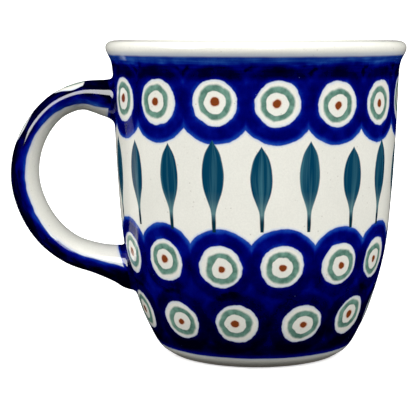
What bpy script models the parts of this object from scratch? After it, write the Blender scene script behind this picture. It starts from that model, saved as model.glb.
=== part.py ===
"""A half-pint stoneware mug in four fired pieces: the jiggered cup, the cast strap handle
and the two beds of slip that lute the handle's ends to the cup's wall.

The origin is on the standing plane, in the middle of the mug's length and width.
The cup stands to +X and its handle reaches out to -X.
"""

import math

import bpy
import numpy as np
from mathutils import Vector

MM = 0.001

# Driving dimensions, in millimetres.
MUG_HEIGHT = 95.0
LIP_RADIUS = 45.2
HANDLE_REACH = 74.0
WALL_THICKNESS = 4.5
FLOOR_TOP = 6.4
FOOT_OUTER_RADIUS = 25.0
FOOT_INNER_RADIUS = 20.5
FOOT_RECESS = 1.4
SLIP_THICKNESS = 0.8
SLIP_SQUEEZE_OUT = 1.3
FIRING_GAP = 0.3

# The cup's axis, which is off the origin because the handle is only on one side.
CUP_AXIS_X = (HANDLE_REACH - LIP_RADIUS) / 2

TURN_STEPS = 64
SPAN_POINTS = 2
HANDLE_SPAN_POINTS = 3
HANDLE_SIDES = 24

# Stations on the outside of the cup, foot to lip: height and radius.
OUTSIDE = [
    (0.0, FOOT_OUTER_RADIUS),
    (1.0, 26.9),
    (2.8, 29.2),
    (7.0, 31.7),
    (15.6, 35.4),
    (31.4, 39.6),
    (50.0, 41.5),
    (70.0, 42.6),
    (84.5, 43.1),
    (88.6, 43.6),
    (90.3, 44.35),
    (91.9, LIP_RADIUS - 0.1),
    (93.2, LIP_RADIUS),
    (94.4, 44.5),
    (MUG_HEIGHT, 43.0),
]

# Stations on the inside, lip to floor.
INSIDE = [
    (MUG_HEIGHT, 42.4),
    (94.3, 40.9),
    (92.6, 40.1),
    (89.5, 39.3),
    (84.5, 43.1 - WALL_THICKNESS),
    (60.0, 42.1 - WALL_THICKNESS),
    (40.0, 40.6 - WALL_THICKNESS - 0.2),
    (22.0, 37.3 - WALL_THICKNESS - 0.6),
    (12.5, 28.0),
    (8.3, 21.0),
    (6.9, 12.0),
    (FLOOR_TOP, 0.0),
]

# Stations on the handle's centreline: distance from the cup's axis, height,
# thickness in the handle's own plane, and width across it.
HANDLE = [
    (38.5, 75.6, 15.5, 21.0),
    (44.9, 77.6, 11.4, 18.2),
    (52.7, 78.2, 8.5, 16.2),
    (60.3, 75.0, 7.7, 15.4),
    (66.0, 68.7, 7.8, 15.0),
    (69.3, 60.5, 8.3, 15.0),
    (69.8, 51.8, 8.6, 15.0),
    (67.4, 43.4, 8.8, 15.0),
    (62.6, 36.2, 8.9, 15.2),
    (55.8, 31.0, 8.8, 15.6),
    (47.6, 28.3, 9.2, 16.8),
    (41.0, 26.7, 11.8, 18.8),
    (34.0, 24.6, 15.5, 21.5),
]
SECTION_POWER = 2.1


def smooth_run(stations, per_span):
    """A Catmull-Rom curve through the stations, with so many points for each span."""
    knots = np.array(stations, float)
    before = 2 * knots[0] - knots[1]
    after = 2 * knots[-1] - knots[-2]
    padded = np.vstack([before, knots, after])
    curve = []
    for first in range(len(knots) - 1):
        a, b, c, d = padded[first : first + 4]
        for t in np.arange(per_span) / per_span:
            pull = (c - a) * t
            bend = (2 * a - 5 * b + 4 * c - d) * t**2
            turn = (3 * b - a - 3 * c + d) * t**3
            curve.append(b + (pull + bend + turn) / 2)
    return np.array([*curve, knots[-1]])


def collection(name):
    made = bpy.data.collections.new(name)
    bpy.context.scene.collection.children.link(made)
    return made


def fired_clay(name, colour, roughness):
    """A Principled material for glazed or bare stoneware."""
    material = bpy.data.materials.new(name)
    material.use_nodes = True
    shader = material.node_tree.nodes["Principled BSDF"]
    shader.inputs["Base Color"].default_value = (*colour, 1.0)
    shader.inputs["Roughness"].default_value = roughness
    shader.inputs["Metallic"].default_value = 0.0
    return material


def object_from(name, vertices, edges, faces, home):
    """A new mesh object from millimetre coordinates."""
    mesh = bpy.data.meshes.new(name)
    mesh.from_pydata([Vector(v) * MM for v in vertices], edges, faces)
    made = bpy.data.objects.new(name, mesh)
    home.objects.link(made)
    return made


def turned(name, profile, home, axis_x):
    """A solid of revolution: (height, radius) points from a Screw modifier on the cup's axis."""
    vertices = [(radius, 0.0, height) for height, radius in profile]
    edges = [(i, i + 1) for i in range(len(profile) - 1)]
    made = object_from(name, vertices, edges, [], home)
    made.location.x = axis_x * MM
    screw = made.modifiers.new("Turn", "SCREW")
    screw.steps = TURN_STEPS
    screw.render_steps = TURN_STEPS
    screw.use_merge_vertices = True
    screw.merge_threshold = 0.00001
    return made


def lofted(name, rings, home):
    """A closed body through rings of equal length, with a flat cap at each end."""
    sides = len(rings[0])
    vertices = [point for ring in rings for point in ring]
    faces = []
    for ring in range(len(rings) - 1):
        for side in range(sides):
            here = ring * sides + side
            beside = ring * sides + (side + 1) % sides
            faces.append((here, beside, beside + sides, here + sides))
    faces.append(tuple(reversed(range(sides))))
    faces.append(tuple(range((len(rings) - 1) * sides, len(rings) * sides)))
    return object_from(name, vertices, [], faces, home)


def handle_rings(grown=0.0):
    """The strap's rounded sections along its centreline, grown outwards all round."""
    path = smooth_run(HANDLE, HANDLE_SPAN_POINTS)
    places = np.column_stack([CUP_AXIS_X - path[:, 0], path[:, 1]])
    tangents = np.gradient(places, axis=0)
    tangents /= np.linalg.norm(tangents, axis=1)[:, None]
    rings = []
    for place, tangent, (thick, wide) in zip(places, tangents, path[:, 2:]):
        outwards = (tangent[1], -tangent[0])
        ring = []
        for side in range(HANDLE_SIDES):
            angle = math.tau * side / HANDLE_SIDES
            c, s = math.cos(angle), math.sin(angle)
            in_plane = math.copysign(abs(c) ** (2 / SECTION_POWER), c) * (thick / 2 + grown)
            across = math.copysign(abs(s) ** (2 / SECTION_POWER), s) * (wide / 2 + grown)
            ring.append(
                (
                    place[0] + outwards[0] * in_plane,
                    across,
                    place[1] + outwards[1] * in_plane,
                )
            )
        rings.append(ring)
    return rings


def cup_outside(clearance, low=0.0, high=MUG_HEIGHT):
    """The cup's outside between two heights, moved out by a clearance."""
    heights, radii = zip(*OUTSIDE)
    inside_range = [(z, r) for z, r in smooth_run(OUTSIDE, SPAN_POINTS) if low < z < high]
    ends = [(z, float(np.interp(z, heights, radii))) for z in (low, high)]
    return [(z, r + clearance) for z, r in [ends[0], *inside_range, ends[1]]]


def wall_cutter(name, clearance, home):
    """A plug of the cup's outside shape over the handle's height, for cutting its ends."""
    outside = cup_outside(clearance, 8.0, 89.0)
    profile = [(outside[-1][0], 0.0), *reversed(outside), (outside[0][0], 0.0)]
    return turned(name, profile, home, CUP_AXIS_X)


def boolean(target, cutter, operation):
    change = target.modifiers.new(operation.title(), "BOOLEAN")
    change.operation = operation
    change.solver = "EXACT"
    change.object = cutter


def hide(guide):
    guide.hide_render = True
    guide.display_type = "WIRE"


def box_guide(name, low, high, home):
    """A plain box between two corners, in millimetres."""
    size = [b - a for a, b in zip(low, high)]
    middle = [(a + b) / 2 * MM for a, b in zip(low, high)]
    bpy.ops.mesh.primitive_cube_add(size=1, location=middle)
    made = bpy.context.active_object
    made.name = name
    for corner in made.data.vertices:
        corner.co = Vector([c * s * MM for c, s in zip(corner.co, size)])
    for owner in list(made.users_collection):
        owner.objects.unlink(made)
    home.objects.link(made)
    hide(made)
    return made


def make_cup(home, clay):
    """The jiggered cup: rolled lip, tapered wall, floor and a turned foot ring."""
    up_inside = smooth_run(INSIDE[::-1], SPAN_POINTS)
    down_outside = smooth_run(OUTSIDE[::-1], SPAN_POINTS)
    foot = [
        (0.0, FOOT_INNER_RADIUS),
        (FOOT_RECESS * 0.7, FOOT_INNER_RADIUS - 0.6),
        (FOOT_RECESS, FOOT_INNER_RADIUS - 1.6),
        (FOOT_RECESS, 0.0),
    ]
    profile = [*up_inside, *down_outside, *foot]
    cup = turned("cup_body", profile, home, CUP_AXIS_X)
    cup.data.materials.append(clay)
    return cup


def make_handle(home, clay, cutters):
    """The cast strap handle, cut at both ends to sit round the wall on its beds of slip."""
    handle = lofted("handle", handle_rings(), home)
    handle.data.materials.append(clay)
    standoff = SLIP_THICKNESS + 2 * FIRING_GAP
    boolean(handle, wall_cutter("handle_end_cutter", standoff, cutters), "DIFFERENCE")
    return handle


def make_slip_bed(name, low, high, home, slip, cutters):
    """One bed of luting slip: the handle's end, a little squeezed out, between two wall shapes."""
    bed = lofted(name, handle_rings(SLIP_SQUEEZE_OUT), home)
    bed.data.materials.append(slip)
    window = box_guide(
        f"{name}_window",
        (CUP_AXIS_X - 60, -25, low),
        (CUP_AXIS_X, 25, high),
        cutters,
    )
    boolean(bed, window, "INTERSECT")
    boolean(bed, wall_cutter(f"{name}_outer", FIRING_GAP + SLIP_THICKNESS, cutters), "INTERSECT")
    boolean(bed, wall_cutter(f"{name}_inner", FIRING_GAP, cutters), "DIFFERENCE")
    return bed


def main():
    for old in list(bpy.data.objects):
        bpy.data.objects.remove(old, do_unlink=True)
    parts = collection("stoneware_mug")
    cutters = collection("cutters")
    glazed = fired_clay("glazed_stoneware", (0.82, 0.81, 0.75), 0.12)
    cobalt = fired_clay("cobalt_glazed_stoneware", (0.004, 0.010, 0.22), 0.10)
    slip = fired_clay("fired_slip", (0.62, 0.58, 0.50), 0.6)
    make_cup(parts, glazed)
    make_handle(parts, cobalt, cutters)
    make_slip_bed("upper_luting_slip", 55.0, 88.0, parts, slip, cutters)
    make_slip_bed("lower_luting_slip", 9.0, 50.0, parts, slip, cutters)
    for guide in cutters.objects:
        hide(guide)
    for part in parts.objects:
        if part.data.polygons:
            part.data.shade_smooth()
            part.data.set_sharp_from_angle(angle=math.radians(35))


main()
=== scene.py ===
"""A hand-painted stoneware mug: a turned cup and its strap handle, fired, painted and glazed.

Lengths are in metres in the scene and in millimetres in the materials' patterns. The cup's
axis, the lip and the handle's reach come from the frame's nodes. Angles round the cup count
from the front, which is -Y, and grow towards +X. The handle reaches out to -X.
"""

import math

import bmesh
import bpy
import numpy as np
from bpy.props import FloatProperty, FloatVectorProperty, IntProperty, PointerProperty
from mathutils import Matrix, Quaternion, Vector


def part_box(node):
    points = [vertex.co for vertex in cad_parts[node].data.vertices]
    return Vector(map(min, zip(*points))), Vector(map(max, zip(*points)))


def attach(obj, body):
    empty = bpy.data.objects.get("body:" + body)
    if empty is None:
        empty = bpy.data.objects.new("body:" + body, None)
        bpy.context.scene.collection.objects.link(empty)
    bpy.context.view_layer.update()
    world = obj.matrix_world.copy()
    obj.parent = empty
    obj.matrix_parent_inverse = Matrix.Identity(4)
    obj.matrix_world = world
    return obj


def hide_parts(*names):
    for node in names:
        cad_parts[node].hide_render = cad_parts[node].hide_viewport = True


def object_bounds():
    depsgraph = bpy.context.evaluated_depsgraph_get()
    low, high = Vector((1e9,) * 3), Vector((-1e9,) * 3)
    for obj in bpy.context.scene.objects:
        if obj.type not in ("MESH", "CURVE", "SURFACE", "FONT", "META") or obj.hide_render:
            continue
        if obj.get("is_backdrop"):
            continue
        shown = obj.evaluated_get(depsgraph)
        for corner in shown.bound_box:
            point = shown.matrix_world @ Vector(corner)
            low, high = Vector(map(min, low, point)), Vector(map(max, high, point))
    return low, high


bl_info = {
    "name": "Hand-painted Stoneware Mug",
    "version": (1, 0, 0),
    "blender": (4, 5, 0),
    "location": "3D View > Sidebar > Mug",
    "description": "A glazed stoneware mug with stamped eyes, brushed leaves and cobalt scallops",
    "category": "Add Mesh",
}

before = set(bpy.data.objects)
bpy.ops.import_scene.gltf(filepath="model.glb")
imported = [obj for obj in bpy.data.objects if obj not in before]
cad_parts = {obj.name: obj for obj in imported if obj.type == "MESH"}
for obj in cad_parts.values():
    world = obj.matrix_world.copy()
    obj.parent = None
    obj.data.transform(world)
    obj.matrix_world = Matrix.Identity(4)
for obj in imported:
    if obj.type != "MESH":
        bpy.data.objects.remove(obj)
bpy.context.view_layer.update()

MM = 0.001
CUP_LOW, CUP_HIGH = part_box("cup_body")
AXIS_X = (CUP_LOW.x + CUP_HIGH.x) / 2
LIP_RADIUS = (CUP_HIGH.x - CUP_LOW.x) / 2 / MM
MUG_HEIGHT = CUP_HIGH.z / MM
HANDLE_REACH = (AXIS_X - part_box("handle")[0].x) / MM
WALL = 4.5
FOOT_OUTER = 25.0
FOOT_INNER = 20.5
FLOOR_TOP = 6.4

# The cup's outline in millimetres, as (distance from the axis, height).
INSIDE = [
    (0.0, FLOOR_TOP),
    (12.0, 6.9),
    (21.0, 8.3),
    (28.0, 12.5),
    (32.2, 22.0),
    (35.9, 40.0),
    (42.1 - WALL, 60.0),
    (43.1 - WALL, 84.5),
    (39.3, 89.5),
    (40.1, 92.6),
    (40.9, 94.3),
]
OUTSIDE = [
    (42.6, MUG_HEIGHT),
    (44.5, 94.4),
    (LIP_RADIUS, 93.2),
    (LIP_RADIUS - 0.1, 91.9),
    (44.35, 90.3),
    (43.6, 88.6),
    (43.1, 84.5),
    (42.6, 70.0),
    (41.5, 50.0),
    (39.6, 31.4),
    (35.4, 15.6),
    (31.7, 7.0),
    (29.2, 2.8),
    (26.9, 1.0),
]
FOOT = [
    (FOOT_OUTER + 0.5, 0.15),
    (FOOT_OUTER - 0.4, 0.0),
    (FOOT_INNER + 0.4, 0.0),
    (FOOT_INNER - 0.3, 0.6),
    (FOOT_INNER - 1.6, 1.4),
    (0.0, 1.4),
]

# The handle's centreline: (distance from the axis, height, thickness, width across).
STRAP = [
    (40.4, 76.9, 14.2, 20.4),
    (44.9, 77.6, 11.4, 18.2),
    (52.7, 78.2, 8.5, 16.2),
    (60.3, 75.0, 7.7, 15.4),
    (66.0, 68.7, 7.8, 15.0),
    (HANDLE_REACH - 4.75, 60.5, 8.3, 15.0),
    (HANDLE_REACH - 4.25, 51.8, 8.6, 15.0),
    (67.4, 43.4, 8.8, 15.0),
    (62.6, 36.2, 8.9, 15.2),
    (55.8, 31.0, 8.8, 15.6),
    (47.6, 28.3, 9.2, 16.8),
    (41.0, 26.7, 11.8, 18.8),
    (38.2, 26.0, 14.0, 20.0),
    (35.6, 26.2, 16.4, 21.2),
]

# White eyes along the handle's spine, in millimetres along its centreline.
EYE_START = 4.4
EYE_STEP = 18.0

# The cobalt bands: each scallop's radius round its eye, the height down or up to which the band
# is solid, and the height of its straight edge. Then the heights that part the rows of eyes.
TOP_SCALLOP, TOP_SOLID, LIP_LINE = 11.5, 77.5, 90.85
BASE_SCALLOP, BASE_SOLID, FOOT_LINE = 11.1, 32.0, 3.65
UNDER_TOP_ROW = 60.0
UNDER_MIDDLE_ROW = 24.0

# How deep the slip bead's hidden side goes into the wall and into the handle.
BEAD_IN_WALL = 0.7
BEAD_IN_HANDLE = 0.25

OUTLINE_SPAN = 8
FOOT_RING_SPANS = 4

MATH = "ShaderNodeMath"
VECTOR = "ShaderNodeVectorMath"
RANGE = "ShaderNodeMapRange"
MIX = "ShaderNodeMix"


def linear(hex_colour):
    """Linear RGB for an sRGB hex colour."""
    shares = [int(hex_colour[i : i + 2], 16) / 255 for i in (1, 3, 5)]
    return [s / 12.92 if s <= 0.04045 else ((s + 0.055) / 1.055) ** 2.4 for s in shares]


class MugShape(bpy.types.PropertyGroup):
    """Sizes that belong to how the mug was made."""

    segments: IntProperty(
        name="Segments", description="Steps round the cup", default=288, min=48
    )
    outline_step: FloatProperty(
        name="Outline step", description="Spacing down the cup's outline",
        default=1.05 * MM, unit="LENGTH",
    )
    unevenness: FloatProperty(
        name="Unevenness", description="How far the turned wall strays from a true circle",
        default=0.12 * MM, unit="LENGTH",
    )
    strap_step: FloatProperty(
        name="Strap step", description="Spacing of the handle's sections",
        default=0.8 * MM, unit="LENGTH",
    )
    strap_sides: IntProperty(
        name="Strap sides", description="Points round a section of the handle", default=96, min=12
    )
    strap_squareness: FloatProperty(
        name="Strap squareness", description="2 is an ellipse, and more is a squarer section",
        default=2.05, min=2.0,
    )
    slip_fillet: FloatProperty(
        name="Slip fillet", description="How far the luting slip is smoothed along each side",
        default=1.5 * MM, unit="LENGTH",
    )


class MugPainting(bpy.types.PropertyGroup):
    """What is painted round the mug, and in which colours."""

    top_eyes: IntProperty(name="Top eyes", description="Eyes in the top row", default=15)
    middle_eyes: IntProperty(name="Middle eyes", description="Eyes in the middle row", default=14)
    low_eyes: IntProperty(name="Low eyes", description="Eyes in the lowest row", default=12)
    leaves: IntProperty(name="Leaves", description="Leaves between the bands", default=19)
    ground: FloatVectorProperty(
        name="Ground", description="White clay under clear glaze",
        default=linear("#ECEBE1"), subtype="COLOR",
    )
    leaf: FloatVectorProperty(
        name="Leaf", description="Blue-green underglaze", default=linear("#043C58"), subtype="COLOR"
    )
    ring: FloatVectorProperty(
        name="Ring", description="Copper-green underglaze", default=linear("#4F8071"), subtype="COLOR"
    )
    dot: FloatVectorProperty(
        name="Dot", description="Iron-brown underglaze", default=linear("#803C1A"), subtype="COLOR"
    )


class MugStudio(bpy.types.PropertyGroup):
    """The camera and the lights."""

    distance: FloatProperty(
        name="Distance", description="Camera to the point it looks at",
        default=432.8 * MM, unit="LENGTH",
    )
    pitch: FloatProperty(
        name="Pitch", description="How far the camera looks down",
        default=math.radians(7.17), subtype="ANGLE",
    )
    aim_height: FloatProperty(
        name="Aim height", description="Height that the camera looks at",
        default=43.9 * MM, unit="LENGTH",
    )
    aim_side: FloatProperty(
        name="Aim side", description="How far right of the mug's middle the camera looks",
        default=0.25 * MM, unit="LENGTH",
    )
    lens: FloatProperty(name="Lens", description="Focal length in millimetres", default=122.3)
    tent: FloatProperty(
        name="Tent", description="Brightness of the white tent over the mug", default=0.15
    )
    table: FloatProperty(
        name="Table", description="Brightness of what the mug gets from below", default=0.06
    )
    window: FloatProperty(
        name="Window", description="Soft light from each side of the camera, in watts a square metre",
        default=3.4,
    )
    glint: FloatProperty(
        name="Glint", description="Brightness of the softboxes that the glaze mirrors", default=8.0
    )


def add(tree, kind, inputs=None, **settings):
    """Adds a node with its settings, and fills its inputs with values or links."""
    made = tree.nodes.new(kind)
    for name, value in settings.items():
        setattr(made, name, value)
    for key, value in (inputs or {}).items():
        if isinstance(value, bpy.types.Node):
            value = value.outputs[0]
        if isinstance(value, bpy.types.NodeSocket):
            tree.links.new(value, made.inputs[key])
        else:
            made.inputs[key].default_value = value
    return made


def new_group(name, kind, takes, gives):
    """An empty node group with named sockets, its input node and its output node."""
    tree = bpy.data.node_groups.new(name, kind)
    for side, sockets in (("INPUT", takes), ("OUTPUT", gives)):
        for socket_name, socket_kind in sockets.items():
            tree.interface.new_socket(socket_name, in_out=side, socket_type=socket_kind)
    return tree, tree.nodes.new("NodeGroupInput"), tree.nodes.new("NodeGroupOutput")


def smooth_run(stations, per_span):
    """A Catmull-Rom curve through the stations, with so many points for each span."""
    knots = np.array(stations, float)
    padded = np.vstack([2 * knots[0] - knots[1], knots, 2 * knots[-1] - knots[-2]])
    curve = []
    for first in range(len(knots) - 1):
        a, b, c, d = padded[first : first + 4]
        for t in np.arange(per_span) / per_span:
            pull = (c - a) * t
            bend = (2 * a - 5 * b + 4 * c - d) * t**2
            turn = (3 * b - a - 3 * c + d) * t**3
            curve.append(b + (pull + bend + turn) / 2)
    return np.array([*curve, knots[-1]])


def wall_radius(heights):
    """The cup's outer radius at some heights, in millimetres."""
    run = smooth_run(OUTSIDE, 16)[::-1]
    return np.interp(heights, run[:, 1], run[:, 0])


def line_object(name, points, **columns):
    """A chain of edges through points in metres, with a float attribute for each column."""
    mesh = bpy.data.meshes.new(name)
    mesh.from_pydata([tuple(p) for p in points], [(i, i + 1) for i in range(len(points) - 1)], [])
    for attribute_name, values in columns.items():
        attribute = mesh.attributes.new(attribute_name, "FLOAT", "POINT")
        attribute.data.foreach_set("value", np.array(values, np.float32))
    made = bpy.data.objects.new(name, mesh)
    bpy.context.scene.collection.objects.link(made)
    return made


def run_nodes(guide, tree, values):
    """Runs a Geometry Nodes tree on a guide and returns the guide with the plain mesh result."""
    modifier = guide.modifiers.new(tree.name, "NODES")
    modifier.node_group = tree
    sockets = {item.name: item.identifier for item in tree.interface.items_tree}
    for socket_name, value in values.items():
        modifier[sockets[socket_name]] = value
    evaluated = guide.evaluated_get(bpy.context.evaluated_depsgraph_get())
    mesh = bpy.data.meshes.new_from_object(evaluated)
    if not mesh.polygons:
        raise RuntimeError(f"{tree.name} made no faces")
    guide.modifiers.clear()
    guide.data = mesh
    mesh.name = guide.name
    return guide


def turned_tree():
    """A tree that turns an outline round the cup's axis, with three glaze zones down it."""
    tree, takes, gives = new_group(
        "Turned cup",
        "GeometryNodeTree",
        {
            "Outline": "NodeSocketGeometry",
            "Axis": "NodeSocketVector",
            "Segments": "NodeSocketInt",
            "Outline points": "NodeSocketInt",
            "Unevenness": "NodeSocketFloat",
            "Seed": "NodeSocketFloat",
            "Outside starts": "NodeSocketFloat",
            "Foot starts": "NodeSocketFloat",
            "Recess starts": "NodeSocketFloat",
            "Painted": "NodeSocketMaterial",
            "Plain": "NodeSocketMaterial",
            "Bare": "NodeSocketMaterial",
        },
        {"Cup": "NodeSocketGeometry"},
    )
    asked = takes.outputs
    outline = add(tree, "GeometryNodeMeshToCurve", {"Mesh": asked["Outline"]})
    steps = add(tree, MATH, {0: asked["Segments"], 1: 1.0}, operation="ADD")
    grid = add(
        tree, "GeometryNodeMeshGrid",
        {"Size X": 1.0, "Size Y": 1.0, "Vertices X": steps, "Vertices Y": asked["Outline points"]},
    )
    where = add(tree, "ShaderNodeSeparateXYZ", {"Vector": grid.outputs["UV Map"]})
    place = add(
        tree, "GeometryNodeSampleCurve",
        {"Curves": outline, "Factor": where.outputs["Y"]},
        mode="FACTOR", use_all_curves=True,
    )
    turn = add(tree, MATH, {0: where.outputs["X"], 1: math.tau}, operation="MULTIPLY")
    turned = add(
        tree, "ShaderNodeVectorRotate",
        {"Vector": place.outputs["Position"], "Angle": turn}, rotation_type="Z_AXIS",
    )
    outwards = add(tree, VECTOR, {0: turned, 1: (1.0, 1.0, 0.0)}, operation="MULTIPLY")
    outwards = add(tree, VECTOR, {0: outwards}, operation="NORMALIZE")
    waver = add(
        tree, "ShaderNodeTexNoise",
        {"Vector": turned, "W": asked["Seed"], "Scale": 28.0, "Detail": 1.0},
        noise_dimensions="4D",
    )
    waver = add(tree, MATH, {0: waver.outputs["Fac"], 1: 0.5}, operation="SUBTRACT")
    waver = add(tree, MATH, {0: waver, 1: asked["Unevenness"]}, operation="MULTIPLY")
    waver = add(tree, MATH, {0: waver, 1: 2.0}, operation="MULTIPLY")
    strayed = add(tree, VECTOR, {0: outwards, "Scale": waver}, operation="SCALE")
    strayed = add(tree, VECTOR, {0: turned, 1: strayed}, operation="ADD")
    placed = add(tree, VECTOR, {0: strayed, 1: asked["Axis"]}, operation="ADD")
    named = add(
        tree, "GeometryNodeStoreNamedAttribute",
        {"Geometry": grid, "Name": "down", "Value": where.outputs["Y"]},
        data_type="FLOAT", domain="POINT",
    )
    shaped = add(tree, "GeometryNodeSetPosition", {"Geometry": named, "Position": placed})
    closed = add(tree, "GeometryNodeMergeByDistance", {"Geometry": shaped, "Distance": 0.02 * MM})
    smooth = add(tree, "GeometryNodeSetShadeSmooth", {"Geometry": closed})
    real = add(tree, "GeometryNodeRealizeInstances", {"Geometry": smooth})
    down = add(tree, "GeometryNodeInputNamedAttribute", {"Name": "down"}, data_type="FLOAT")
    zoned = add(tree, "GeometryNodeSetMaterial", {"Geometry": real, "Material": asked["Plain"]})
    for start, end, finish in (
        ("Outside starts", "Foot starts", "Painted"),
        ("Foot starts", "Recess starts", "Bare"),
    ):
        after = add(tree, MATH, {0: down, 1: asked[start]}, operation="GREATER_THAN")
        before = add(tree, MATH, {0: down, 1: asked[end]}, operation="LESS_THAN")
        within = add(tree, MATH, {0: after, 1: before}, operation="MULTIPLY")
        within = add(tree, MATH, {0: within, 1: 0.5}, operation="GREATER_THAN")
        zoned = add(
            tree, "GeometryNodeSetMaterial",
            {"Geometry": zoned, "Selection": within, "Material": asked[finish]},
        )
    tree.links.new(zoned.outputs[0], gives.inputs["Cup"])
    return tree


def strap_tree():
    """A tree that sweeps an oval of changing thickness and width along a centreline."""
    tree, takes, gives = new_group(
        "Strap handle",
        "GeometryNodeTree",
        {
            "Centreline": "NodeSocketGeometry",
            "Step": "NodeSocketFloat",
            "Sides": "NodeSocketInt",
            "Squareness": "NodeSocketFloat",
            "Cup": "NodeSocketObject",
            "Glaze": "NodeSocketMaterial",
        },
        {"Handle": "NodeSocketGeometry"},
    )
    asked = takes.outputs
    line = add(tree, "GeometryNodeMeshToCurve", {"Mesh": asked["Centreline"]})
    line = add(tree, "GeometryNodeCurveSplineType", {"Curve": line}, spline_type="CATMULL_ROM")
    line = add(tree, "GeometryNodeResampleCurve", {"Curve": line, "Length": asked["Step"]}, mode="LENGTH")
    on_line = add(tree, "GeometryNodeCaptureAttribute", {"Geometry": line}, domain="POINT")
    captured = {
        "centre": ("VECTOR", add(tree, "GeometryNodeInputPosition")),
        "tangent": ("VECTOR", add(tree, "GeometryNodeInputTangent")),
        "along": ("FLOAT", add(tree, "GeometryNodeSplineParameter").outputs["Length"]),
        "thick": ("FLOAT", add(tree, "GeometryNodeInputNamedAttribute", {"Name": "thickness"})),
        "wide": ("FLOAT", add(tree, "GeometryNodeInputNamedAttribute", {"Name": "width"})),
    }
    for name, (kind, source) in captured.items():
        on_line.capture_items.new(kind, name)
        source = source.outputs[0] if isinstance(source, bpy.types.Node) else source
        tree.links.new(source, on_line.inputs[name])
    circle = add(tree, "GeometryNodeCurvePrimitiveCircle", {"Resolution": asked["Sides"], "Radius": 1.0})
    section = add(tree, "GeometryNodeCaptureAttribute", {"Geometry": circle}, domain="POINT")
    section.capture_items.new("VECTOR", "turn")
    tree.links.new(add(tree, "GeometryNodeInputPosition").outputs[0], section.inputs["turn"])
    swept = add(
        tree, "GeometryNodeCurveToMesh",
        {"Curve": on_line, "Profile Curve": section, "Fill Caps": True},
    )
    power = add(tree, MATH, {0: 2.0, 1: asked["Squareness"]}, operation="DIVIDE")
    part = add(tree, "ShaderNodeSeparateXYZ", {"Vector": section.outputs["turn"]})
    offsets = []
    for axis, size in (("X", "thick"), ("Y", "wide")):
        sign = add(tree, MATH, {0: part.outputs[axis]}, operation="SIGN")
        share = add(tree, MATH, {0: part.outputs[axis]}, operation="ABSOLUTE")
        share = add(tree, MATH, {0: share, 1: power}, operation="POWER")
        share = add(tree, MATH, {0: share, 1: sign}, operation="MULTIPLY")
        reach = add(tree, MATH, {0: on_line.outputs[size], 1: 0.5}, operation="MULTIPLY")
        offsets.append(add(tree, MATH, {0: share, 1: reach}, operation="MULTIPLY"))
    across = (0.0, 1.0, 0.0)
    outwards = add(tree, VECTOR, {0: across, 1: on_line.outputs["tangent"]}, operation="CROSS_PRODUCT")
    out = add(tree, VECTOR, {0: outwards, "Scale": offsets[0]}, operation="SCALE")
    side = add(tree, VECTOR, {0: across, "Scale": offsets[1]}, operation="SCALE")
    place = add(tree, VECTOR, {0: out, 1: side}, operation="ADD")
    place = add(tree, VECTOR, {0: place, 1: on_line.outputs["centre"]}, operation="ADD")
    shaped = add(tree, "GeometryNodeSetPosition", {"Geometry": swept, "Position": place})
    strap = add(
        tree, "ShaderNodeCombineXYZ",
        {"X": on_line.outputs["along"], "Y": offsets[1], "Z": offsets[0]},
    )
    named = add(
        tree, "GeometryNodeStoreNamedAttribute",
        {"Geometry": shaped, "Name": "strap", "Value": strap},
        data_type="FLOAT_VECTOR", domain="POINT",
    )
    cup = add(tree, "GeometryNodeObjectInfo", {"Object": asked["Cup"]}, transform_space="RELATIVE")
    near = add(
        tree, "GeometryNodeProximity",
        {"Geometry": cup.outputs["Geometry"]}, target_element="FACES",
    )
    named = add(
        tree, "GeometryNodeStoreNamedAttribute",
        {"Geometry": named, "Name": "wall_gap", "Value": near.outputs["Distance"]},
        data_type="FLOAT", domain="POINT",
    )
    smooth = add(tree, "GeometryNodeSetShadeSmooth", {"Geometry": named})
    real = add(tree, "GeometryNodeRealizeInstances", {"Geometry": smooth})
    glazed = add(tree, "GeometryNodeSetMaterial", {"Geometry": real, "Material": asked["Glaze"]})
    tree.links.new(glazed.outputs[0], gives.inputs["Handle"])
    return tree


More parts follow.
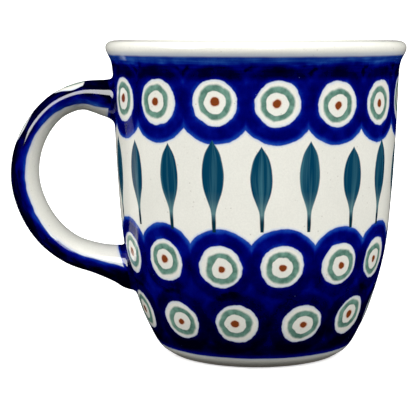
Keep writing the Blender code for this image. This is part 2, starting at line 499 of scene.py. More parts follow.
def stamp_group():
    """Where a point lies on one stamp of a row round the cup, in millimetres from its middle."""
    tree, takes, gives = new_group(
        "Stamp",
        "ShaderNodeTree",
        {
            "Place": "NodeSocketVector",
            "Cell": "NodeSocketFloat",
            "Count": "NodeSocketFloat",
            "First": "NodeSocketFloat",
            "Middle": "NodeSocketVector",
            "Unsteady": "NodeSocketFloat",
            "Seed": "NodeSocketFloat",
        },
        {"Local": "NodeSocketVector", "Random": "NodeSocketVector", "Distance": "NodeSocketFloat"},
    )
    asked = takes.outputs
    spacing = add(tree, MATH, {0: -360.0, 1: asked["Count"]}, operation="DIVIDE")
    turn = add(tree, MATH, {0: asked["Cell"], 1: spacing}, operation="MULTIPLY")
    turn = add(tree, MATH, {0: turn, 1: asked["First"]}, operation="SUBTRACT")
    turn = add(tree, MATH, {0: turn}, operation="RADIANS")
    fronted = add(
        tree, "ShaderNodeVectorRotate",
        {"Vector": asked["Place"], "Angle": turn}, rotation_type="Z_AXIS",
    )
    lap = add(tree, MATH, {0: asked["Cell"], 1: asked["Count"]}, operation="FLOORED_MODULO")
    key = add(tree, MATH, {0: lap, 1: asked["Seed"]}, operation="ADD")
    chance = add(tree, "ShaderNodeTexWhiteNoise", {"W": key}, noise_dimensions="1D")
    shift = add(
        tree, VECTOR, {0: chance.outputs["Color"], 1: (0.5, 0.5, 0.5)}, operation="SUBTRACT"
    )
    shift = add(tree, VECTOR, {0: shift, 1: (0.0, 1.0, 1.0)}, operation="MULTIPLY")
    shift = add(tree, VECTOR, {0: shift, "Scale": asked["Unsteady"]}, operation="SCALE")
    middle = add(tree, VECTOR, {0: asked["Middle"], 1: shift}, operation="ADD")
    local = add(tree, VECTOR, {0: fronted, 1: middle}, operation="SUBTRACT")
    distance = add(tree, VECTOR, {0: local}, operation="LENGTH")
    tree.links.new(local.outputs[0], gives.inputs["Local"])
    tree.links.new(chance.outputs["Color"], gives.inputs["Random"])
    tree.links.new(distance.outputs["Value"], gives.inputs["Distance"])
    return tree


def row_group():
    """The nearest stamp of a row round the cup, and the brush strokes round the two nearest."""
    tree, takes, gives = new_group(
        "Row of stamps",
        "ShaderNodeTree",
        {
            "Place": "NodeSocketVector",
            "Count": "NodeSocketFloat",
            "First": "NodeSocketFloat",
            "Middle": "NodeSocketVector",
            "Unsteady": "NodeSocketFloat",
            "Seed": "NodeSocketFloat",
            "Stroke radius": "NodeSocketFloat",
            "Stroke half width": "NodeSocketFloat",
            "Bare by handle": "NodeSocketFloat",
        },
        {
            "Local": "NodeSocketVector",
            "Random": "NodeSocketVector",
            "Distance": "NodeSocketFloat",
            "Strokes": "NodeSocketFloat",
            "Missing": "NodeSocketFloat",
        },
    )
    asked = takes.outputs
    split = add(tree, "ShaderNodeSeparateXYZ", {"Vector": asked["Place"]})
    angle = add(tree, MATH, {0: split.outputs["Y"], 1: split.outputs["X"]}, operation="ARCTAN2")
    angle = add(tree, MATH, {0: angle}, operation="DEGREES")
    angle = add(tree, MATH, {0: angle, 1: asked["First"]}, operation="SUBTRACT")
    turns = add(tree, MATH, {0: angle, 1: 360.0}, operation="DIVIDE")
    cells = add(tree, MATH, {0: turns, 1: asked["Count"]}, operation="MULTIPLY")
    left_cell = add(tree, MATH, {0: cells}, operation="FLOOR")
    right_cell = add(tree, MATH, {0: left_cell, 1: 1.0}, operation="ADD")
    stamps = []
    strokes = []
    for cell in (left_cell, right_cell):
        stamp = add(tree, "ShaderNodeGroup", node_tree=bpy.data.node_groups["Stamp"])
        tree.links.new(cell.outputs[0], stamp.inputs["Cell"])
        for name in ("Place", "Count", "First", "Middle", "Unsteady", "Seed"):
            tree.links.new(asked[name], stamp.inputs[name])
        off = add(
            tree, MATH, {0: stamp.outputs["Distance"], 1: asked["Stroke radius"]}, operation="SUBTRACT"
        )
        off = add(tree, MATH, {0: off}, operation="ABSOLUTE")
        strokes.append(
            add(
                tree, RANGE,
                {"Value": off, 1: asked["Stroke half width"], 2: 0.7, 3: 0.0, 4: 1.0},
                interpolation_type="SMOOTHSTEP",
            )
        )
        stamps.append(stamp)
    left, right = stamps
    is_right = add(
        tree, MATH, {0: right.outputs["Distance"], 1: left.outputs["Distance"]}, operation="LESS_THAN"
    )
    local = add(
        tree, MIX, {0: is_right, 4: left.outputs["Local"], 5: right.outputs["Local"]},
        data_type="VECTOR",
    )
    chance = add(
        tree, MIX, {0: is_right, 4: left.outputs["Random"], 5: right.outputs["Random"]},
        data_type="VECTOR",
    )
    distance = add(
        tree, MATH, {0: left.outputs["Distance"], 1: right.outputs["Distance"]}, operation="MINIMUM"
    )
    most = add(tree, MATH, {0: strokes[0], 1: strokes[1]}, operation="MAXIMUM")
    least = add(tree, MATH, {0: strokes[0], 1: strokes[1]}, operation="MINIMUM")
    both = add(tree, MATH, {0: least, 1: 0.2, 2: most}, operation="MULTIPLY_ADD")
    cell = add(tree, MATH, {0: left_cell, 1: is_right}, operation="ADD")
    spacing = add(tree, MATH, {0: 360.0, 1: asked["Count"]}, operation="DIVIDE")
    bearing = add(tree, MATH, {0: cell, 1: spacing, 2: asked["First"]}, operation="MULTIPLY_ADD")
    from_handle = add(tree, MATH, {0: bearing, 1: 270.0}, operation="ADD")
    from_handle = add(tree, MATH, {0: from_handle, 1: 360.0}, operation="FLOORED_MODULO")
    from_handle = add(tree, MATH, {0: from_handle, 1: 180.0}, operation="SUBTRACT")
    from_handle = add(tree, MATH, {0: from_handle}, operation="ABSOLUTE")
    missing = add(tree, MATH, {0: from_handle, 1: asked["Bare by handle"]}, operation="LESS_THAN")
    tree.links.new(local.outputs[1], gives.inputs["Local"])
    tree.links.new(chance.outputs[1], gives.inputs["Random"])
    tree.links.new(distance.outputs[0], gives.inputs["Distance"])
    tree.links.new(both.outputs[0], gives.inputs["Strokes"])
    tree.links.new(missing.outputs[0], gives.inputs["Missing"])
    return tree


def waver_group():
    """Moves a place by an unsteady hand: noise of a given size moves it by up to a reach."""
    tree, takes, gives = new_group(
        "Unsteady hand",
        "ShaderNodeTree",
        {
            "Place": "NodeSocketVector",
            "Size": "NodeSocketFloat",
            "Reach": "NodeSocketFloat",
            "Seed": "NodeSocketFloat",
        },
        {"Place": "NodeSocketVector"},
    )
    asked = takes.outputs
    scale = add(tree, MATH, {0: 1.0, 1: asked["Size"]}, operation="DIVIDE")
    noise = add(
        tree, "ShaderNodeTexNoise",
        {"Vector": asked["Place"], "W": asked["Seed"], "Scale": scale, "Detail": 1.0},
        noise_dimensions="4D",
    )
    shift = add(tree, VECTOR, {0: noise.outputs["Color"], 1: (0.5, 0.5, 0.5)}, operation="SUBTRACT")
    reach = add(tree, MATH, {0: asked["Reach"], 1: 3.0}, operation="MULTIPLY")
    shift = add(tree, VECTOR, {0: shift, "Scale": reach}, operation="SCALE")
    moved = add(tree, VECTOR, {0: asked["Place"], 1: shift}, operation="ADD")
    tree.links.new(moved.outputs[0], gives.inputs["Place"])
    return tree


def eye_group():
    """An eye on its white window: how far inside the window, the green ring and the brown dot."""
    tree, takes, gives = new_group(
        "Eye",
        "ShaderNodeTree",
        {
            "Local": "NodeSocketVector",
            "Random": "NodeSocketVector",
            "Window": "NodeSocketFloat",
            "Stamp size": "NodeSocketFloat",
        },
        {
            "Inside": "NodeSocketFloat",
            "Ring": "NodeSocketFloat",
            "Dot": "NodeSocketFloat",
            "Dot rim": "NodeSocketFloat",
            "Across ring": "NodeSocketFloat",
        },
    )
    asked = takes.outputs
    chance = add(tree, "ShaderNodeSeparateXYZ", {"Vector": asked["Random"]})
    places = {}
    for name, size, reach in (("window", 2.4, 0.2), ("ring", 3.6, 0.42), ("dot", 1.3, 0.12)):
        seed = add(tree, MATH, {0: chance.outputs["X"], 1: 40.0, 2: size}, operation="MULTIPLY_ADD")
        places[name] = add(
            tree, "ShaderNodeGroup",
            {"Place": asked["Local"], "Size": size, "Reach": reach, "Seed": seed},
            node_tree=bpy.data.node_groups["Unsteady hand"],
        )
    reach = add(tree, VECTOR, {0: places["window"]}, operation="LENGTH")
    inside = add(tree, MATH, {0: asked["Window"], 1: reach.outputs["Value"]}, operation="SUBTRACT")
    smaller = add(tree, MATH, {0: 1.0, 1: asked["Stamp size"]}, operation="DIVIDE")
    offset = add(tree, VECTOR, {0: asked["Random"], 1: (0.5, 0.5, 0.5)}, operation="SUBTRACT")
    distances = {}
    for name, spread in (("ring", (0.0, 1.5, 1.2)), ("dot", (0.0, 1.7, 1.3))):
        middle = add(tree, VECTOR, {0: offset, 1: spread}, operation="MULTIPLY")
        local = add(tree, VECTOR, {0: places[name], "Scale": smaller}, operation="SCALE")
        local = add(tree, VECTOR, {0: local, 1: middle}, operation="SUBTRACT")
        distances[name] = add(tree, VECTOR, {0: local}, operation="LENGTH").outputs["Value"]
    # The sponge leaves a crisp edge inside the ring and a soft one outside it.
    inner = add(
        tree, RANGE, {"Value": distances["ring"], 1: 2.9, 2: 3.25, 3: 0.0, 4: 0.95},
        interpolation_type="SMOOTHSTEP",
    )
    outer = add(
        tree, RANGE, {"Value": distances["ring"], 1: 5.2, 2: 4.4, 3: 0.0, 4: 1.0},
        interpolation_type="SMOOTHSTEP",
    )
    band = add(tree, MATH, {0: inner, 1: outer}, operation="MULTIPLY")
    off = add(tree, MATH, {0: distances["ring"], 1: 4.0}, operation="SUBTRACT")
    size = add(tree, RANGE, {"Value": chance.outputs["Z"], 3: 0.9, 4: 1.15})
    dot = add(tree, MATH, {0: distances["dot"], 1: size}, operation="DIVIDE")
    spot = add(
        tree, RANGE, {"Value": dot, 1: 1.24, 2: 1.0, 3: 0.0, 4: 1.0}, interpolation_type="SMOOTHSTEP"
    )
    rim = add(
        tree, RANGE, {"Value": dot, 1: 1.55, 2: 1.15, 3: 0.0, 4: 0.7}, interpolation_type="SMOOTHSTEP"
    )
    tree.links.new(inside.outputs[0], gives.inputs["Inside"])
    tree.links.new(band.outputs[0], gives.inputs["Ring"])
    tree.links.new(spot.outputs[0], gives.inputs["Dot"])
    tree.links.new(rim.outputs[0], gives.inputs["Dot rim"])
    tree.links.new(off.outputs[0], gives.inputs["Across ring"])
    return tree


def ground_group():
    """White stoneware seen through clear glaze: warm, a little cloudy, with fine iron specks."""
    tree, takes, gives = new_group(
        "Glazed ground",
        "ShaderNodeTree",
        {"Place": "NodeSocketVector", "Colour": "NodeSocketColor"},
        {"Colour": "NodeSocketColor"},
    )
    asked = takes.outputs
    cloud = add(
        tree, "ShaderNodeTexNoise", {"Vector": asked["Place"], "Scale": 1 / 14.0, "Detail": 3.0}
    )
    cloud = add(tree, RANGE, {"Value": cloud.outputs["Fac"], 1: 0.3, 2: 0.7, 3: 0.95, 4: 1.0})
    grain = add(
        tree, "ShaderNodeTexNoise", {"Vector": asked["Place"], "Scale": 1 / 0.5, "Detail": 2.0}
    )
    grain = add(tree, RANGE, {"Value": grain.outputs["Fac"], 1: 0.3, 2: 0.7, 3: 0.97, 4: 1.03})
    cloud = add(tree, MATH, {0: cloud, 1: grain}, operation="MULTIPLY")
    tone = add(tree, VECTOR, {0: asked["Colour"], "Scale": cloud}, operation="SCALE")
    # Iron specks up to 0.5 mm across, some 1.7 mm apart, and most of them too faint to see.
    specks = add(
        tree, "ShaderNodeTexVoronoi", {"Vector": asked["Place"], "Scale": 1 / 1.7, "Randomness": 1.0}
    )
    speck = add(tree, RANGE, {"Value": specks.outputs["Distance"], 1: 0.17, 2: 0.06, 3: 0.0, 4: 1.0})
    chance = add(tree, "ShaderNodeSeparateColor", {"Color": specks.outputs["Color"]})
    strength = add(
        tree, RANGE, {"Value": chance.outputs["Red"], 1: 0.35, 2: 1.0, 3: 0.0, 4: 0.4}
    )
    speck = add(tree, MATH, {0: speck, 1: strength}, operation="MULTIPLY")
    speckled = add(
        tree, MIX, {0: speck, 6: tone, 7: (*linear("#8E8270"), 1.0)}, data_type="RGBA"
    )
    tree.links.new(speckled.outputs[2], gives.inputs["Colour"])
    return tree


def cobalt_group():
    """Cobalt underglaze: its colour from how much pigment the brush left, from thin to overlapped."""
    tree, takes, gives = new_group(
        "Brushed cobalt",
        "ShaderNodeTree",
        {"Place": "NodeSocketVector", "Pigment": "NodeSocketFloat", "Inside": "NodeSocketFloat"},
        {"Colour": "NodeSocketColor"},
    )
    asked = takes.outputs
    blots = add(
        tree, "ShaderNodeTexNoise", {"Vector": asked["Place"], "Scale": 1 / 4.5, "Detail": 2.0}
    )
    blots = add(tree, RANGE, {"Value": blots.outputs["Fac"], 1: 0.3, 2: 0.7, 3: -0.28, 4: 0.28})
    grain = add(
        tree, "ShaderNodeTexNoise", {"Vector": asked["Place"], "Scale": 1 / 0.5, "Detail": 2.0}
    )
    grain = add(tree, RANGE, {"Value": grain.outputs["Fac"], 1: 0.3, 2: 0.7, 3: -0.07, 4: 0.07})
    amount = add(tree, MATH, {0: asked["Pigment"], 1: blots}, operation="ADD")
    amount = add(tree, MATH, {0: amount, 1: grain}, operation="ADD")
    thin_edge = add(
        tree, RANGE, {"Value": asked["Inside"], 1: 0.0, 2: 2.0, 3: 0.35, 4: 1.0},
        interpolation_type="SMOOTHSTEP",
    )
    amount = add(tree, MATH, {0: amount, 1: thin_edge}, operation="MULTIPLY")
    amount = add(tree, MATH, {0: amount, 1: 0.5}, operation="MULTIPLY")
    ramp = add(tree, "ShaderNodeValToRGB", {"Fac": amount})
    stops = [
        (0.00, "#2C5CB4"), (0.12, "#12399C"), (0.24, "#07228A"), (0.36, "#020B79"),
        (0.50, "#000264"), (0.66, "#00004A"), (0.83, "#00002C"), (1.00, "#000014"),
    ]
    fill_ramp(ramp, [(position, linear(colour)) for position, colour in stops])
    # Pinholes in the glaze show as pale specks up to 0.4 mm across, some 4 mm apart.
    holes = add(
        tree, "ShaderNodeTexVoronoi", {"Vector": asked["Place"], "Scale": 1 / 4.0, "Randomness": 1.0}
    )
    hole = add(tree, RANGE, {"Value": holes.outputs["Distance"], 1: 0.05, 2: 0.02, 3: 0.0, 4: 1.0})
    chance = add(tree, "ShaderNodeSeparateColor", {"Color": holes.outputs["Color"]})
    strength = add(tree, RANGE, {"Value": chance.outputs["Green"], 1: 0.3, 2: 1.0, 3: 0.0, 4: 0.6})
    hole = add(tree, MATH, {0: hole, 1: strength}, operation="MULTIPLY")
    holed = add(
        tree, MIX, {0: hole, 6: ramp.outputs["Color"], 7: (*linear("#7C8CD0"), 1.0)},
        data_type="RGBA",
    )
    tree.links.new(holed.outputs[2], gives.inputs["Colour"])
    return tree


def leaf_group():
    """One brushed leaf, 23 to 26 mm long: how much it covers and its streaked blue-green."""
    tree, takes, gives = new_group(
        "Brushed leaf",
        "ShaderNodeTree",
        {"Local": "NodeSocketVector", "Random": "NodeSocketVector", "Leaf": "NodeSocketColor"},
        {"Cover": "NodeSocketFloat", "Colour": "NodeSocketColor"},
    )
    asked = takes.outputs
    chance = add(tree, "ShaderNodeSeparateXYZ", {"Vector": asked["Random"]})
    spot = add(tree, "ShaderNodeSeparateXYZ", {"Vector": asked["Local"]})
    tall = add(tree, RANGE, {"Value": chance.outputs["Z"], 1: 0.0, 2: 1.0, 3: 23.2, 4: 26.0})
    rise = add(tree, MATH, {0: spot.outputs["Z"], 1: tall}, operation="DIVIDE")
    rise = add(tree, MATH, {0: rise, 1: 0.5}, operation="ADD")
    # The stem drifts to one side and the blade leans a little, differently on each leaf.
    lean = add(tree, RANGE, {"Value": chance.outputs["X"], 1: 0.0, 2: 1.0, 3: -0.9, 4: 0.1})
    low = add(tree, RANGE, {"Value": rise, 1: 0.62, 2: 0.0, 3: 0.0, 4: 1.0})
    drift = add(tree, MATH, {0: low, 1: lean}, operation="MULTIPLY")
    across = add(tree, MATH, {0: spot.outputs["Y"], 1: drift}, operation="ADD")
    side = add(tree, MATH, {0: across}, operation="ABSOLUTE")
    outline = add(tree, "ShaderNodeFloatCurve", {"Value": rise})
    shape = outline.mapping.curves[0]
    shares = [
        (0.0, 0.16), (0.08, 0.2), (0.17, 0.205), (0.22, 0.24), (0.28, 0.36), (0.33, 0.5),
        (0.38, 0.65), (0.43, 0.79), (0.5, 0.92), (0.57, 0.985), (0.63, 1.0), (0.7, 0.96),
        (0.77, 0.87), (0.83, 0.75), (0.88, 0.59), (0.925, 0.38), (0.965, 0.17), (1.0, 0.0),
    ]
    shape.points[0].location, shape.points[1].location = shares[0], shares[-1]
    for share in shares[1:-1]:
        shape.points.new(*share)
    outline.mapping.update()
    width = add(tree, RANGE, {"Value": chance.outputs["Y"], 1: 0.0, 2: 1.0, 3: 2.95, 4: 3.6})
    half = add(tree, MATH, {0: outline, 1: width}, operation="MULTIPLY")
    inside = add(tree, MATH, {0: half, 1: side}, operation="SUBTRACT")
    cover = add(
        tree, RANGE, {"Value": inside, 1: -0.12, 2: 0.2, 3: 0.0, 4: 1.0},
        interpolation_type="SMOOTHSTEP",
    )
    from_middle = add(tree, MATH, {0: rise, 1: 0.5}, operation="SUBTRACT")
    from_middle = add(tree, MATH, {0: from_middle}, operation="ABSOLUTE")
    on_leaf = add(tree, MATH, {0: from_middle, 1: 0.5}, operation="LESS_THAN")
    cover = add(tree, MATH, {0: cover, 1: on_leaf}, operation="MULTIPLY")
    # Brush hairs leave streaks some 0.5 mm wide that follow the leaf's outline.
    held = add(tree, MATH, {0: half, 1: 0.5}, operation="MAXIMUM")
    hair = add(tree, MATH, {0: across, 1: held}, operation="DIVIDE")
    hair = add(tree, MATH, {0: hair, 1: 2.6}, operation="MULTIPLY")
    hairs = add(tree, "ShaderNodeCombineXYZ", {"Y": hair, "Z": rise})
    seeded = add(tree, VECTOR, {0: asked["Random"], 1: (9.0, 9.0, 9.0)}, operation="MULTIPLY")
    hairs = add(tree, VECTOR, {0: hairs, 1: seeded}, operation="ADD")
    streaks = add(tree, "ShaderNodeTexNoise", {"Vector": hairs, "Scale": 1.0, "Detail": 1.5})
    streaks = add(
        tree, RANGE, {"Value": streaks.outputs["Fac"], 1: 0.44, 2: 0.78, 3: 0.0, 4: 1.0}
    )
    neck = add(tree, "ShaderNodeValToRGB", {"Fac": rise})
    tones = [(0.0, 0.0), (0.12, 0.1), (0.2, 0.8), (0.28, 0.55), (0.36, 0.15), (0.45, 0.0)]
    fill_ramp(neck, [(position, (tone, tone, tone)) for position, tone in tones])
    full = add(
        tree, MIX, {0: neck, 6: asked["Leaf"], 7: (*linear("#5A8285"), 1.0)}, data_type="RGBA"
    )
    thin = add(
        tree, MIX, {0: neck, 6: (*linear("#3A6E7C"), 1.0), 7: (*linear("#82A09E"), 1.0)},
        data_type="RGBA",
    )
    streaked = add(
        tree, MIX, {0: streaks, 6: full.outputs[2], 7: thin.outputs[2]}, data_type="RGBA"
    )
    stem = add(tree, RANGE, {"Value": rise, 1: 0.2, 2: 0.1, 3: 0.0, 4: 1.0})
    stemmed = add(
        tree, MIX, {0: stem, 6: streaked.outputs[2], 7: (*linear("#0A2D3C"), 1.0)}, data_type="RGBA"
    )
    tree.links.new(cover.outputs[0], gives.inputs["Cover"])
    tree.links.new(stemmed.outputs[2], gives.inputs["Colour"])
    return tree


def fill_ramp(ramp, stops):
    """Fills a colour ramp with stops, each a position and a linear colour."""
    while len(ramp.color_ramp.elements) < len(stops):
        ramp.color_ramp.elements.new(1.0)
    for element, (position, colour) in zip(ramp.color_ramp.elements, stops):
        element.position = position
        element.color = (*colour, 1.0)


def new_material(name, roughness, ior):
    """A material with an empty Principled shader, and that shader."""
    material = bpy.data.materials.new(name)
    material.use_nodes = True
    shader = material.node_tree.nodes["Principled BSDF"]
    shader.inputs["Roughness"].default_value = roughness
    shader.inputs["IOR"].default_value = ior
    return material, shader


def glaze_waves(tree, shader, place, height):
    """The pooled surface of a fired glaze: waves some 9 mm long and a few hundredths deep."""
    waves = add(tree, "ShaderNodeTexNoise", {"Vector": place, "Scale": 1 / 9.0, "Detail": 1.5})
    bump = add(
        tree, "ShaderNodeBump", {"Height": waves.outputs["Fac"], "Strength": 1.0, "Distance": height}
    )
    tree.links.new(bump.outputs[0], shader.inputs["Normal"])


def paint_eye(tree, under, eye, place, painting):
    """Paints an eye's green ring and brown dot over what is under them."""
    patches = add(tree, "ShaderNodeTexNoise", {"Vector": place, "Scale": 1 / 2.0, "Detail": 3.0})
    patches = add(tree, RANGE, {"Value": patches.outputs["Fac"], 1: 0.34, 2: 0.66, 3: -0.5, 4: 0.5})
    paler = add(
        tree, RANGE, {"Value": eye.outputs["Across ring"], 1: -0.9, 2: 1.2, 3: 0.25, 4: 0.7}
    )
    paler = add(tree, MATH, {0: paler, 1: patches}, operation="ADD", use_clamp=True)
    green = add(
        tree, MIX, {0: paler, 6: (*linear("#2E6354"), 1.0), 7: (*linear("#76A493"), 1.0)},
        data_type="RGBA",
    )
    green = add(
        tree, MIX, {0: 0.35, 6: green.outputs[2], 7: (*painting.ring, 1.0)}, data_type="RGBA"
    )
    ringed = add(
        tree, MIX, {0: eye.outputs["Ring"], 6: under, 7: green.outputs[2]}, data_type="RGBA"
    )
    rimmed = add(
        tree, MIX, {0: eye.outputs["Dot rim"], 6: ringed.outputs[2], 7: (*linear("#DDB096"), 1.0)},
        data_type="RGBA",
    )
    dotted = add(
        tree, MIX, {0: eye.outputs["Dot"], 6: rimmed.outputs[2], 7: (*painting.dot, 1.0)},
        data_type="RGBA",
    )
    return dotted.outputs[2]


def ground_by_cobalt(tree, place, inside, painting):
    """The glazed ground, with the pale halo where cobalt bleeds a little into the glaze."""
    ground = add(
        tree, "ShaderNodeGroup", {"Place": place, "Colour": (*painting.ground, 1.0)},
        node_tree=bpy.data.node_groups["Glazed ground"],
    )
    bleed = add(
        tree, RANGE, {"Value": inside, 1: -0.8, 2: 0.0, 3: 0.0, 4: 0.6},
        interpolation_type="SMOOTHSTEP",
    )
    haloed = add(
        tree, MIX, {0: bleed, 6: ground, 7: (*linear("#BCCBE6"), 1.0)}, data_type="RGBA"
    )
    return haloed.outputs[2]


def covered(tree, under, cobalt, inside):
    """Cobalt over what is under it, wherever a point is inside the painted area."""
    cover = add(
        tree, RANGE, {"Value": inside, 1: -0.12, 2: 0.22, 3: 0.0, 4: 1.0},
        interpolation_type="SMOOTHSTEP",
    )
    return add(tree, MIX, {0: cover, 6: under, 7: cobalt}, data_type="RGBA").outputs[2]


def cup_place(tree):
    """Object coordinates in millimetres from the cup's axis, turned so that the front is +X."""
    object_place = add(tree, "ShaderNodeTexCoord").outputs["Object"]
    mapping = add(
        tree, "ShaderNodeMapping",
        {
            "Vector": object_place,
            "Location": (0.0, -AXIS_X / MM, 0.0),
            "Rotation": (0.0, 0.0, math.radians(90)),
            "Scale": (1000.0, 1000.0, 1000.0),
        },
    )
    return mapping.outputs[0]


def painted_stoneware(painting):
    """Jiggered stoneware, stamped and brushed before glazing.

    Cobalt scallops hold white windows with stamped eyes, brushed leaves stand between the
    bands, and the clear glaze over all of it gives a wet shine."""
    material, shader = new_material("underglaze_painted_stoneware", 0.07, 1.5)
    tree = material.node_tree
    place = cup_place(tree)
    hand = add(
        tree, "ShaderNodeGroup", {"Place": place, "Size": 6.0, "Reach": 0.3, "Seed": 1.0},
        node_tree=bpy.data.node_groups["Unsteady hand"],
    )
    hand = add(
        tree, "ShaderNodeGroup", {"Place": hand, "Size": 1.5, "Reach": 0.14, "Seed": 2.0},
        node_tree=bpy.data.node_groups["Unsteady hand"],
    )
    # The cup turns on a banding wheel for the two straight edges, and each leaf is one quick
    # stroke, so both are steadier.
    steady = add(
        tree, "ShaderNodeGroup", {"Place": place, "Size": 5.0, "Reach": 0.07, "Seed": 6.0},
        node_tree=bpy.data.node_groups["Unsteady hand"],
    )
    rows = {}
    for name, by, count, first, height, stroke, width, bare, seed in (
        ("top", hand, painting.top_eyes, 6.8, 77.8, 8.9, 2.6, 0.0, 5.0),
        ("middle", hand, painting.middle_eyes, 9.5, 32.3, 8.3, 2.4, 12.0, 41.0),
        ("low", hand, painting.low_eyes, -9.5, 14.7, 8.3, 2.6, 17.0, 83.0),
        ("leaf", steady, painting.leaves, 0.9, 54.4, 30.0, 2.6, 0.0, 7.0),
    ):
        rows[name] = add(
            tree, "ShaderNodeGroup",
            {
                "Place": by,
                "Count": float(count),
                "First": first,
                "Middle": (float(wall_radius(height)), 0.0, height),
                "Unsteady": 1.0,
                "Seed": seed,
                "Stroke radius": stroke,
                "Stroke half width": width,
                "Bare by handle": bare,
            },
            node_tree=bpy.data.node_groups["Row of stamps"],
        )
    eyes = {
        name: add(
            tree, "ShaderNodeGroup",
            {
                "Local": rows[name].outputs["Local"],
                "Random": rows[name].outputs["Random"],
                "Window": window,
                "Stamp size": 1.0,
            },
            node_tree=bpy.data.node_groups["Eye"],
        )
        for name, window in (("top", 6.4), ("middle", 6.15), ("low", 6.1))
    }
    height = add(tree, "ShaderNodeSeparateXYZ", {"Vector": hand}).outputs["Z"]
    banded = add(tree, "ShaderNodeSeparateXYZ", {"Vector": steady}).outputs["Z"]

    # The two cobalt bands, each a scalloped edge and a straight one: millimetres inside them.
    scallop = add(tree, MATH, {0: TOP_SCALLOP, 1: rows["top"].outputs["Distance"]}, operation="SUBTRACT")
    filled = add(tree, MATH, {0: height, 1: TOP_SOLID}, operation="SUBTRACT")
    top = add(tree, MATH, {0: scallop, 1: filled}, operation="MAXIMUM")
    to_lip = add(tree, MATH, {0: LIP_LINE, 1: banded}, operation="SUBTRACT")
    to_lip = add(tree, MATH, {0: to_lip, 1: 0.5}, operation="MULTIPLY")
    top = add(tree, MATH, {0: top, 1: to_lip}, operation="MINIMUM")
    scallop = add(
        tree, MATH, {0: BASE_SCALLOP, 1: rows["middle"].outputs["Distance"]}, operation="SUBTRACT"
    )
    filled = add(tree, MATH, {0: BASE_SOLID, 1: height}, operation="SUBTRACT")
    base = add(tree, MATH, {0: scallop, 1: filled}, operation="MAXIMUM")
    from_foot = add(tree, MATH, {0: banded, 1: FOOT_LINE}, operation="SUBTRACT")
    base = add(tree, MATH, {0: base, 1: from_foot}, operation="MINIMUM")
    band = add(tree, MATH, {0: top, 1: base}, operation="MAXIMUM")
    inside = band
    for name, eye in eyes.items():
        missing = add(tree, MATH, {0: rows[name].outputs["Missing"], 1: 100.0}, operation="MULTIPLY")
        outside = add(tree, MATH, {0: missing, 1: eye.outputs["Inside"]}, operation="SUBTRACT")
        inside = add(tree, MATH, {0: inside, 1: outside}, operation="MINIMUM")

    # Pigment: a wash, the strokes round the eyes, a stroke along each straight edge, and a dark dab
    # here and there where two strokes cross. More of it towards the foot is painted shade.
    edges = {}
    for name, edge, reach in (("rim", 86.6, 3.0), ("foot", 5.6, 3.4)):
        off = add(tree, MATH, {0: height, 1: edge}, operation="SUBTRACT")
        off = add(tree, MATH, {0: off}, operation="ABSOLUTE")
        edges[name] = add(
            tree, RANGE, {"Value": off, 1: reach, 2: 0.9, 3: 0.0, 4: 1.0},
            interpolation_type="SMOOTHSTEP",
        )
    strokes = {name: rows[name].outputs["Strokes"] for name in ("top", "middle", "low")}
    between = add(
        tree, RANGE, {"Value": rows["top"].outputs["Distance"], 1: 11.2, 2: 12.6, 3: 0.0, 4: 1.0}
    )
    rim_crossing = add(tree, MATH, {0: between, 1: edges["rim"]}, operation="MULTIPLY")
    row_crossing = add(tree, MATH, {0: strokes["middle"], 1: strokes["low"]}, operation="MULTIPLY")
    crossing = add(tree, MATH, {0: rim_crossing, 1: row_crossing}, operation="ADD")
    dabs = add(tree, "ShaderNodeTexNoise", {"Vector": place, "Scale": 1 / 3.4, "Detail": 1.0})
    dabs = add(
        tree, RANGE, {"Value": dabs.outputs["Fac"], 1: 0.42, 2: 0.56, 3: 0.0, 4: 1.0},
        interpolation_type="SMOOTHSTEP",
    )
    dabs = add(tree, MATH, {0: dabs, 1: crossing}, operation="MULTIPLY")
    pigment = add(tree, MATH, {0: strokes["top"], 1: strokes["middle"]}, operation="ADD")
    pigment = add(tree, MATH, {0: pigment, 1: strokes["low"]}, operation="ADD")
    pigment = add(tree, MATH, {0: pigment, 1: 0.5, 2: 0.5}, operation="MULTIPLY_ADD")
    for amount, share in ((edges["rim"], 0.66), (edges["foot"], 0.35), (dabs, 0.85)):
        pigment = add(tree, MATH, {0: amount, 1: share, 2: pigment}, operation="MULTIPLY_ADD")
    # Painted shade: more cobalt towards the foot darkens the lower wall, which turns down away from the
    # light.
    shade_towards_foot = add(tree, RANGE, {"Value": height, 1: 38.0, 2: 6.0, 3: 0.0, 4: 0.9})
    pigment = add(tree, MATH, {0: pigment, 1: shade_towards_foot}, operation="ADD")
    # Brush hairs leave level streaks some 0.6 mm high in the band under the lip.
    streak_place = add(tree, "ShaderNodeMapping", {"Vector": place, "Scale": (0.1, 0.1, 1.5)})
    streaks = add(tree, "ShaderNodeTexNoise", {"Vector": streak_place, "Scale": 1.0, "Detail": 1.0})
    streaks = add(tree, RANGE, {"Value": streaks.outputs["Fac"], 1: 0.3, 2: 0.7, 3: -0.3, 4: 0.3})
    by_lip = add(tree, RANGE, {"Value": height, 1: 85.5, 2: 88.0, 3: 0.0, 4: 1.0})
    pigment = add(tree, MATH, {0: streaks, 1: by_lip, 2: pigment}, operation="MULTIPLY_ADD")
    cobalt = add(
        tree, "ShaderNodeGroup", {"Place": place, "Pigment": pigment, "Inside": band},
        node_tree=bpy.data.node_groups["Brushed cobalt"],
    )

